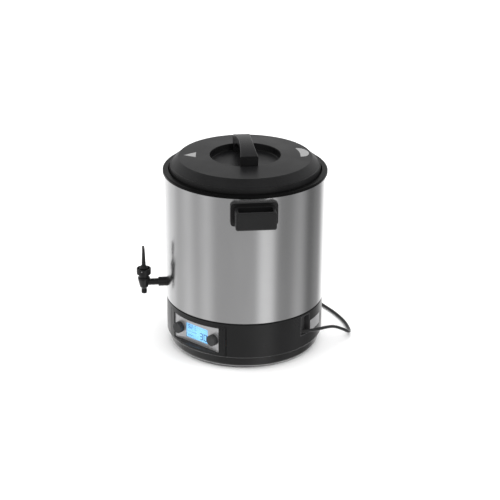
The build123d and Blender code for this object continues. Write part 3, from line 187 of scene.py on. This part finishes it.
def brushedFinish(name, c):
    # metal with fine lines round the pot and a stretched gloss along its height
    material, tree, shader = startFinish(name)
    lines = grainOf(tree, c["lines"], stretch=c["stretch"], detail=2)
    cloud = grainOf(tree, c["cloud"], stretch=c["cloudStretch"], detail=3)
    darker, lighter = c["shades"]
    dark = tuple(v * darker for v in c["colour"])
    light = tuple(min(1, v * lighter) for v in c["colour"])
    tree.links.new(tint(tree, cloud, dark, light), shader.inputs["Base Color"])
    low, high = c["rough"]
    tree.links.new(spread(tree, lines, low, high), shader.inputs["Roughness"])
    shader.inputs["Metallic"].default_value = 1
    shader.inputs["Anisotropic"].default_value = c["stretchedGloss"]
    shader.inputs["Anisotropic Rotation"].default_value = 0.25
    tangent = tree.nodes.new("ShaderNodeTangent")
    tangent.direction_type = "RADIAL"
    tangent.axis = "Z"
    tree.links.new(tangent.outputs["Tangent"], shader.inputs["Tangent"])
    dent(tree, shader, lines, c["skin"], c["skinDepth"])
    return material


def litFinish(name, c):
    # the display's backlight, in two tones
    material, tree, shader = startFinish(name)
    cloud = grainOf(tree, c["cloud"], detail=1)
    tree.links.new(
        tint(tree, cloud, c["dark"], c["light"]), shader.inputs["Emission Color"])
    shader.inputs["Emission Strength"].default_value = c["glow"]
    shader.inputs["Base Color"].default_value = (*c["dark"], 1)
    shader.inputs["Roughness"].default_value = 0.5
    return material


def windowFinish(name, c):
    # clear cover: mostly see-through, with the room's soft mirror on its face
    material, tree, shader = startFinish(name)
    haze = grainOf(tree, c["haze"], detail=2)
    tree.links.new(spread(tree, haze, *c["rough"]), shader.inputs["Roughness"])
    shader.inputs["Base Color"].default_value = (*c["colour"], 1)
    shader.inputs["Alpha"].default_value = c["cover"]
    return material


finishSet = {
    "enamel": {
        "colour": (0.0015, 0.0015, 0.0016), "rough": (0.24, 0.34), "grain": 900, "skin": 0.10,
        "shine": 0.12},
    "lid_enamel": {
        "colour": (0.0065, 0.0065, 0.0068), "rough": (0.32, 0.42), "grain": 1500, "skin": 0.25,
        "shine": 0.36},
    "black_plastic": {
        "colour": (0.008, 0.008, 0.0083), "rough": (0.26, 0.36), "grain": 1800, "skin": 0.2,
        "shine": 0.40},
    # painted light: a lighter copy of black_plastic for the cord's recess, in place of light it
    # catches
    "recess_painted_light_plastic": {
        "colour": (0.042, 0.042, 0.043), "rough": (0.48, 0.6), "grain": 1800, "skin": 0.3},
    "knob_plastic": {
        "colour": (0.030, 0.031, 0.032), "rough": (0.42, 0.52), "grain": 2500, "skin": 0.3},
    "rubber": {
        "colour": (0.014, 0.014, 0.014), "rough": (0.6, 0.75), "grain": 1600, "skin": 0.4},
    "cord_pvc": {
        "colour": (0.010, 0.010, 0.011), "rough": (0.36, 0.48), "grain": 1400, "skin": 0.2},
    "silver": {
        "colour": (0.62, 0.62, 0.63), "rough": (0.30, 0.42), "grain": 2200, "skin": 0.1,
        "metal": 0.75, "shade": 0.04},
    "bright_steel": {
        "colour": (0.60, 0.60, 0.61), "rough": (0.16, 0.26), "grain": 1500, "skin": 0.05,
        "metal": 1, "shade": 0.05},
    "spring_steel": {
        "colour": (0.36, 0.35, 0.34), "rough": (0.28, 0.4), "grain": 1500, "skin": 0.1,
        "metal": 1, "shade": 0.1},
    "circuit": {
        "colour": (0.02, 0.14, 0.05), "rough": (0.35, 0.5), "grain": 700, "skin": 0.3},
    "white_plastic": {
        "colour": (0.74, 0.73, 0.70), "rough": (0.4, 0.5), "grain": 1500, "skin": 0.15,
        "shade": 0.03},
    "silicone": {
        "colour": (0.68, 0.66, 0.62), "rough": (0.5, 0.6), "grain": 1200, "skin": 0.15,
        "shade": 0.05},
    "brass": {
        "colour": (0.72, 0.49, 0.20), "rough": (0.22, 0.34), "grain": 1300, "skin": 0.08,
        "metal": 1, "shade": 0.08},
    "copper_wire": {
        "colour": (0.60, 0.26, 0.16), "rough": (0.3, 0.4), "grain": 1300, "skin": 0.08,
        "metal": 1, "shade": 0.08},
}
finishes = {name: solidFinish(name, c) for name, c in finishSet.items()}
finishes["steel"] = brushedFinish(
    "steel",
    {"colour": (0.62, 0.62, 0.625), "shades": (0.93, 1.05), "rough": (0.20, 0.27),
     "lines": 40, "stretch": (0.6, 0.6, 60), "cloud": 9, "cloudStretch": (1, 1, 0.25),
     "stretchedGloss": 0.6, "skin": 0.10, "skinDepth": 0.0001},
)
finishes["display"] = litFinish(
    "display", {"dark": (0.20, 0.52, 0.86), "light": (0.32, 0.66, 0.95),
                "glow": 0.75, "cloud": 30})
finishes["window"] = windowFinish(
    "window", {"colour": (0.30, 0.60, 0.90), "cover": 0.12, "haze": 60, "rough": (0.10, 0.16)})
inkFinish = solidFinish(
    "displayInk",
    {"colour": (0.012, 0.055, 0.22), "rough": (0.4, 0.5), "grain": 900, "skin": 0.05})
markFinish = solidFinish(
    "lidMark",
    {"colour": (0.24, 0.24, 0.24), "rough": (0.45, 0.55), "grain": 1200, "skin": 0.1,
     "shade": 0.05})

for thing in nodes.values():
    for place in thing.material_slots:
        slotName = place.material.name.split(".")[0]
        if slotName in finishes:
            place.material = finishes[slotName]
# painted light: the cord's recess gets a lighter, rougher copy of the black plastic, standing in
# for the light the recess catches
for place in nodes["cord_inlet"].material_slots:
    place.material = finishes["recess_painted_light_plastic"]
print("finishes made:", len(finishes))


cordSet = {
    "radius": 3.5,
    "length": 1.40,
    "exit": (176.08, 7.70, 65),
    "route": [
        (176.08, 7.70, 65), (188.36, 30.62, 65), (190, 66, 59), (186, 96, 47), (188, 122, 32),
        (186, 148, 14), (166, 176, 3.7), (128, 206, 3.7), (76, 230, 3.7), (20, 246, 3.7),
        (-34, 278, 3.7), (-84, 289.6, 3.7),
    ],
    "tail": [
        (-145.2, 246, 3.7), (-147, 212, 3.7), (-168, 185, 8), (-197, 174, 18.2), (-226, 170, 18.2),
    ],
    "coilCentre": (-95, 240),
    "coilStart": 112,
    "perTurn": 16, "order": 3, "alongSteps": 8, "roundSteps": 5,
    # each row is the angle at which a turn reaches that radius and height
    "coilWay": [
        (112, 47.0, 3.7), (150, 43.0, 3.7), (440, 42.8, 3.7), (500, 35.6, 3.7), (800, 35.6, 3.8),
        (850, 35.8, 10.6), (1110, 36.4, 10.7), (1170, 40.0, 11.0), (1205, 44.5, 10.9),
        (1235, 50.5, 6.0),
    ],
}


def coilPoint(angle, c):
    way = c["coilWay"]
    row = max(k for k in range(len(way) - 1) if way[k][0] <= angle)
    start, end = way[row], way[row + 1]
    share = (angle - start[0]) / (end[0] - start[0])
    share = share * share * (3 - 2 * share)
    radius = start[1] + (end[1] - start[1]) * share
    height = start[2] + (end[2] - start[2]) * share
    turn = math.radians(angle)
    return (
        c["coilCentre"][0] + radius * math.cos(turn),
        c["coilCentre"][1] + radius * math.sin(turn),
        height,
    )


def makeCord(c):
    step = 360 / c["perTurn"]
    # the last point stops 2 degrees short of the last row
    count = int((c["coilWay"][-1][0] - 2 - c["coilStart"]) // step)
    turns = [coilPoint(c["coilStart"] + k * step, c) for k in range(count + 1)]
    points = c["route"] + turns + c["tail"]
    curve = bpy.data.curves.new("cord", "CURVE")
    curve.dimensions = "3D"
    line = curve.splines.new("NURBS")
    line.points.add(len(points) - 1)
    for spot, point in zip(line.points, points):
        spot.co = (point[0] * mm, point[1] * mm, point[2] * mm, 1)
    line.order_u = c["order"]
    line.use_endpoint_u = True
    line.resolution_u = c["alongSteps"]
    curve.bevel_depth = c["radius"] * mm
    curve.bevel_resolution = c["roundSteps"]
    curve.use_fill_caps = True
    curve.materials.append(finishes["cord_pvc"])
    cord = link(bpy.data.objects.new("mainsCord", curve))
    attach(cord, "pot")
    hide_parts("cord", "cord_coil", "cord_tail")


makeCord(cordSet)
print("cord laid")


sleeveSet = {
    "radius": 175.0, "wall": 0.8, "low": 111.5, "high": 405.0, "hem": 1.6, "steps": 240,
    "lip": 0.7, "lipRise": 0.25, "lipInset": 0.4, "hemInset": 0.35, "hemRise": 0.4,
    "rings": (60, 120, 180, 240),
    "seamBearing": 180, "seamWidth": 7.0, "seamProud": 0.35, "seamSunk": 0.2,
    "seamEnds": (1, 6), "seamRound": 0.25, "seamSteps": 4,
}


def makeSleeve(c):
    outer, inner, low, high, hem = (
        c["radius"], c["radius"] - c["wall"], c["low"], c["high"], c["hem"])
    outline = [
        (outer, high), (inner, high), (inner, low + hem), (inner - c["lip"], low + hem),
        (inner - c["lip"], low + c["lipRise"]), (inner - c["lipInset"], low),
        (outer - c["hemInset"], low), (outer, low + c["hemRise"]),
        *((outer, low + rise) for rise in c["rings"]),
    ]
    pieceFrom(spunShape(outline, c["steps"]), "steelSleeve", "pot", finishes["steel"],
              stands=["outer_sleeve"])

    # the sheet's lap at the back
    half = math.degrees(c["seamWidth"] / 2 / outer)
    lap = bmesh.new()
    proud = c["seamProud"]
    foot, top = low + c["seamEnds"][0], high - c["seamEnds"][1]
    sunk = outer - c["seamSunk"]
    base = [(sunk, foot), (outer + proud, foot), (outer + proud, top), (sunk, top)]
    verts = [lap.verts.new((r * mm, 0, z * mm)) for r, z in base]
    face = lap.faces.new(verts)
    start = Matrix.Rotation(math.radians(c["seamBearing"] - 90 - half), 4, "Z")
    bmesh.ops.transform(lap, matrix=start, verts=lap.verts)
    bmesh.ops.spin(
        lap, geom=[face, *face.edges, *face.verts], cent=(0, 0, 0), axis=(0, 0, 1),
        angle=math.radians(2 * half), steps=c["seamSteps"])
    # the long outer edges at both sides of the lap
    uprights = [
        e for e in lap.edges
        if abs(e.verts[0].co.z - e.verts[1].co.z) > (top - foot) / 2 * mm
        and e.verts[0].co.xy.length > (outer + proud / 2) * mm
        and len(e.link_faces) == 2 and e.calc_face_angle(0) > 1
    ]
    bmesh.ops.bevel(lap, geom=uprights, offset=c["seamRound"] * mm, segments=2, profile=0.5,
                    material=-1, affect="EDGES")
    pieceFrom(lap, "sleeveLap", "pot", finishes["steel"])


makeSleeve(sleeveSet)
print("sleeve made")


displaySet = {
    "glassBack": 157.8, "glassFront": 159.0, "halfWidth": 31.3, "low": 46.7, "high": 80.3,
    "inkBack": 157.4, "inkDepth": 0.15,
    "bigDigits": "30", "bigPlace": (6.5, 50.0), "bigSize": (9.4, 16.0), "bigBar": 1.9,
    "smallDigits": "82", "smallPlace": (-26.5, 67.5), "smallSize": (5.6, 9.6), "smallBar": 1.2,
    "glassRound": 0.25, "barGap": 0.22, "digitGap": 1.3,
    # plain dots and dashes: left, low, right, high
    "strokes": [
        (-10.5, 69.0, -9.3, 70.2), (-10.5, 73.5, -9.3, 74.7),
        (-7.5, 67.5, -3.5, 68.5), (-7.5, 72.0, -3.5, 73.0), (-7.5, 76.1, -3.5, 77.1),
        (-17.0, 60.5, -3.0, 61.3), (-26.5, 60.5, -20.0, 61.3),
        (-26.5, 51.0, -24.5, 53.0), (-22.0, 51.0, -20.0, 53.0), (-17.5, 51.0, -15.5, 53.0),
        (27.3, 63.5, 28.9, 65.1),
    ],
}
segments = {
    "0": "abcdef", "1": "bc", "2": "abged", "3": "abgcd", "4": "fgbc",
    "5": "afgcd", "6": "afgedc", "7": "abc", "8": "abcdefg", "9": "abcdfg",
}


def addBar(shape, left, low, right, high, back, depth):
    # a thin block on the panel, in millimetres, facing -Y
    size = Matrix.Diagonal(((right - left) * mm, depth * mm, (high - low) * mm, 1))
    place = Matrix.Translation((
        (left + right) / 2 * mm, -(back + depth / 2) * mm, (low + high) / 2 * mm))
    bmesh.ops.create_cube(shape, size=1, matrix=place @ size)


def addDigit(shape, figure, left, low, width, height, bar, c):
    middle = low + height / 2
    gap = bar * c["barGap"]
    spots = {
        "a": (left + bar, low + height - bar, left + width - bar, low + height),
        "g": (left + bar, middle - bar / 2, left + width - bar, middle + bar / 2),
        "d": (left + bar, low, left + width - bar, low + bar),
        "f": (left, middle + gap, left + bar, low + height - gap),
        "b": (left + width - bar, middle + gap, left + width, low + height - gap),
        "e": (left, low + gap, left + bar, middle - gap),
        "c": (left + width - bar, low + gap, left + width, middle - gap),
    }
    for name in segments[figure]:
        addBar(shape, *spots[name], c["inkBack"], c["inkDepth"])


def makeDisplay(c):
    glass = bmesh.new()
    addBar(glass, -c["halfWidth"], c["low"], c["halfWidth"], c["high"], c["glassBack"],
           c["glassFront"] - c["glassBack"])
    bmesh.ops.bevel(glass, geom=list(glass.edges), offset=c["glassRound"] * mm, segments=2,
                    profile=0.5, material=-1, affect="EDGES")
    pieceFrom(glass, "displayGlass", "pot", finishes["window"], stands=["display_window"])

    ink = bmesh.new()
    for digits, place, size, bar in (
        (c["bigDigits"], c["bigPlace"], c["bigSize"], c["bigBar"]),
        (c["smallDigits"], c["smallPlace"], c["smallSize"], c["smallBar"]),
    ):
        for k, figure in enumerate(digits):
            left = place[0] + k * (size[0] + bar * c["digitGap"])
            addDigit(ink, figure, left, place[1], *size, bar, c)
    for stroke in c["strokes"]:
        addBar(ink, *stroke, c["inkBack"], c["inkDepth"])
    pieceFrom(ink, "displayFigures", "pot", inkFinish)


makeDisplay(displaySet)
print("display made")


lidSet = {
    "dish": (77.0, 435.93), "crease": (145.3, 432.45),
    "thick": 0.22, "sunk": 0.06,
    "pointerBearing": -49.5, "pointerTip": 133.0, "pointerBase": 107.0, "pointerHalf": 16.0,
    "bandBearing": 141.0, "bandOuter": 140.5, "bandInner": 120.0, "bandHalfAngle": 13.5,
    "bandSteps": 24, "bandTip": 0.01,
}


def lidHeight(radius, c):
    share = (radius - c["dish"][0]) / (c["crease"][0] - c["dish"][0])
    return c["dish"][1] + (c["crease"][1] - c["dish"][1]) * share


def layOnLid(shape, c):
    # drops every vertex of a flat outline onto the lid, then gives it thickness
    for vert in shape.verts:
        vert.co.z = (lidHeight(vert.co.xy.length / mm, c) - c["sunk"]) * mm
    faces = list(shape.faces)
    bmesh.ops.recalc_face_normals(shape, faces=faces)
    grown = bmesh.ops.extrude_face_region(shape, geom=faces)
    lifted = [part for part in grown["geom"] if isinstance(part, bmesh.types.BMVert)]
    bmesh.ops.translate(shape, vec=(0, 0, (c["thick"] + c["sunk"]) * mm), verts=lifted)


def makeLidMarks(c):
    pointer = bmesh.new()
    way = outWay(c["pointerBearing"])
    side = Vector((-way.y, way.x, 0))
    corners = [
        way * c["pointerTip"],
        way * c["pointerBase"] + side * c["pointerHalf"],
        way * c["pointerBase"] - side * c["pointerHalf"],
    ]
    pointer.faces.new([pointer.verts.new(corner * mm) for corner in corners])
    layOnLid(pointer, c)
    pieceFrom(pointer, "lidPointer", "lid", markFinish)

    band = bmesh.new()
    ends = [band.verts.new((r * mm, 0, 0)) for r in (c["bandInner"], c["bandOuter"])]
    rod = band.edges.new(ends)
    bmesh.ops.rotate(band, cent=(0, 0, 0), verts=band.verts, matrix=Matrix.Rotation(
        math.radians(c["bandBearing"] - 90 - c["bandHalfAngle"]), 3, "Z"))
    bmesh.ops.spin(band, geom=[*ends, rod], cent=(0, 0, 0), axis=(0, 0, 1),
                   angle=math.radians(2 * c["bandHalfAngle"]), steps=c["bandSteps"])
    middle = (c["bandInner"] + c["bandOuter"]) / 2
    centre = outWay(c["bandBearing"])
    for vert in band.verts:
        radius = vert.co.length / mm
        swing = math.degrees(centre.angle(vert.co)) / c["bandHalfAngle"]
        taper = math.sqrt(max(c["bandTip"], 1 - swing * swing))
        if radius > middle:
            radius = c["bandInner"] + (c["bandOuter"] - c["bandInner"]) * taper
        vert.co = vert.co.normalized() * radius * mm
    layOnLid(band, c)
    pieceFrom(band, "lidArcMark", "lid", markFinish)


makeLidMarks(lidSet)
print("lid marks made")


stageSet = {
    "floorSize": 16.0, "floorColour": (0.90, 0.90, 0.90), "floorRough": 0.9, "floorShine": 0.1,
    "lensBearing": -49.3,
    "above": 0.60, "overhead": 0.20, "skyHeights": (0.5, 0.9), "wallHeights": (-0.12, 0.2),
    "lift": (1.72, 0.38), "liftHeights": (-0.75, 0.0),
}
# soft boxes round the room: degrees to the right of the lens, and how bright the wall is there
wallSet = [
    (-130, 0.85), (-110, 0.55), (-90, 0.72), (-73, 0.48), (-57, 0.66), (-40, 0.40), (14, 0.41),
    (26, 0.80), (36, 0.80), (52, 0.28), (66, 0.26), (86, 0.46), (108, 0.16), (130, 0.30),
    (162, 1.50), (205, 1.20), (230, 0.85),
]
lightSet = [
    # name, place, aim, width, height, power
    ("overhead", (0.0, 0.6, 4.5), (0, 0.6, 0), 9.0, 9.0, 500),
    ("leftFill", (-2.6, -1.6, 1.6), (0, 0, 0.25), 1.6, 1.6, 34),
    ("rightFill", (2.4, 0.6, 1.4), (0, 0, 0.15), 1.6, 1.6, 30),
]


def makeFloor(c):
    sheet = bmesh.new()
    bmesh.ops.create_grid(sheet, x_segments=1, y_segments=1, size=c["floorSize"] / 2)
    mesh = bpy.data.meshes.new("floor")
    sheet.to_mesh(mesh)
    sheet.free()
    floor = link(bpy.data.objects.new("floor", mesh))
    material, _, shader = startFinish("floorPaper")
    shader.inputs["Base Color"].default_value = (*c["floorColour"], 1)
    shader.inputs["Roughness"].default_value = c["floorRough"]
    shader.inputs["Specular IOR Level"].default_value = c["floorShine"]
    mesh.materials.append(material)
    floor.visible_glossy = False


def mathNode(tree, operation, first, second=None):
    node = tree.nodes.new("ShaderNodeMath")
    node.operation = operation
    for k, value in enumerate((first, second)):
        if isinstance(value, (int, float)):
            node.inputs[k].default_value = value
        elif value is not None:
            tree.links.new(value, node.inputs[k])
    return node.outputs[0]


def makeRoom(c, walls):
    # the room that glossy surfaces mirror: walls by bearing, lighter below, one tone above
    world = bpy.data.worlds.new("studio")
    world.use_nodes = True
    tree = world.node_tree
    back = tree.nodes["Background"]
    way = tree.nodes.new("ShaderNodeTexCoord")
    axes = tree.nodes.new("ShaderNodeSeparateXYZ")
    tree.links.new(way.outputs["Generated"], axes.inputs[0])
    bearing = mathNode(tree, "ARCTAN2", axes.outputs["Y"], axes.outputs["X"])
    share = mathNode(tree, "ADD", mathNode(tree, "DIVIDE", bearing, 2 * math.pi), 0.5)
    ramp = tree.nodes.new("ShaderNodeValToRGB")
    ramp.color_ramp.interpolation = "EASE"
    stops = ramp.color_ramp.elements
    top = max(level for _, level in walls)
    for k, (turn, level) in enumerate(walls):
        spot = min(1, max(0, (turn + c["lensBearing"] + 180) / 360))
        stop = stops[k] if k < 2 else stops.new(spot)
        stop.position = spot
        stop.color = (level / top,) * 3 + (1,)
    tree.links.new(share, ramp.inputs["Fac"])
    wall = mathNode(tree, "MULTIPLY", ramp.outputs["Color"], top)
    lift = spread(tree, axes.outputs["Z"], *c["lift"], *c["liftHeights"])
    wall = mathNode(tree, "MULTIPLY", wall, lift)
    sky = spread(tree, axes.outputs["Z"], c["above"], c["overhead"], *c["skyHeights"])
    rise = spread(tree, axes.outputs["Z"], 0.0, 1.0, *c["wallHeights"])
    fall = mathNode(tree, "SUBTRACT", 1.0, rise)
    high, side = mathNode(tree, "MULTIPLY", sky, rise), mathNode(tree, "MULTIPLY", wall, fall)
    tree.links.new(mathNode(tree, "ADD", high, side), back.inputs["Color"])
    bpy.context.scene.world = world


def makeLights(rows):
    for name, place, aim, width, height, power in rows:
        lamp = bpy.data.lights.new(name, "AREA")
        lamp.shape = "RECTANGLE"
        lamp.size = width
        lamp.size_y = height
        lamp.energy = power
        holder = link(bpy.data.objects.new(name, lamp))
        turn = (Vector(aim) - Vector(place)).to_track_quat("-Z", "Y").to_matrix().to_4x4()
        holder.matrix_world = Matrix.Translation(Vector(place)) @ turn
        holder.visible_camera = False
        holder.visible_glossy = False


makeFloor(stageSet)
makeRoom(stageSet, wallSet)
makeLights(lightSet)
bpy.context.scene.view_settings.view_transform = "Standard"
print("stage lit")
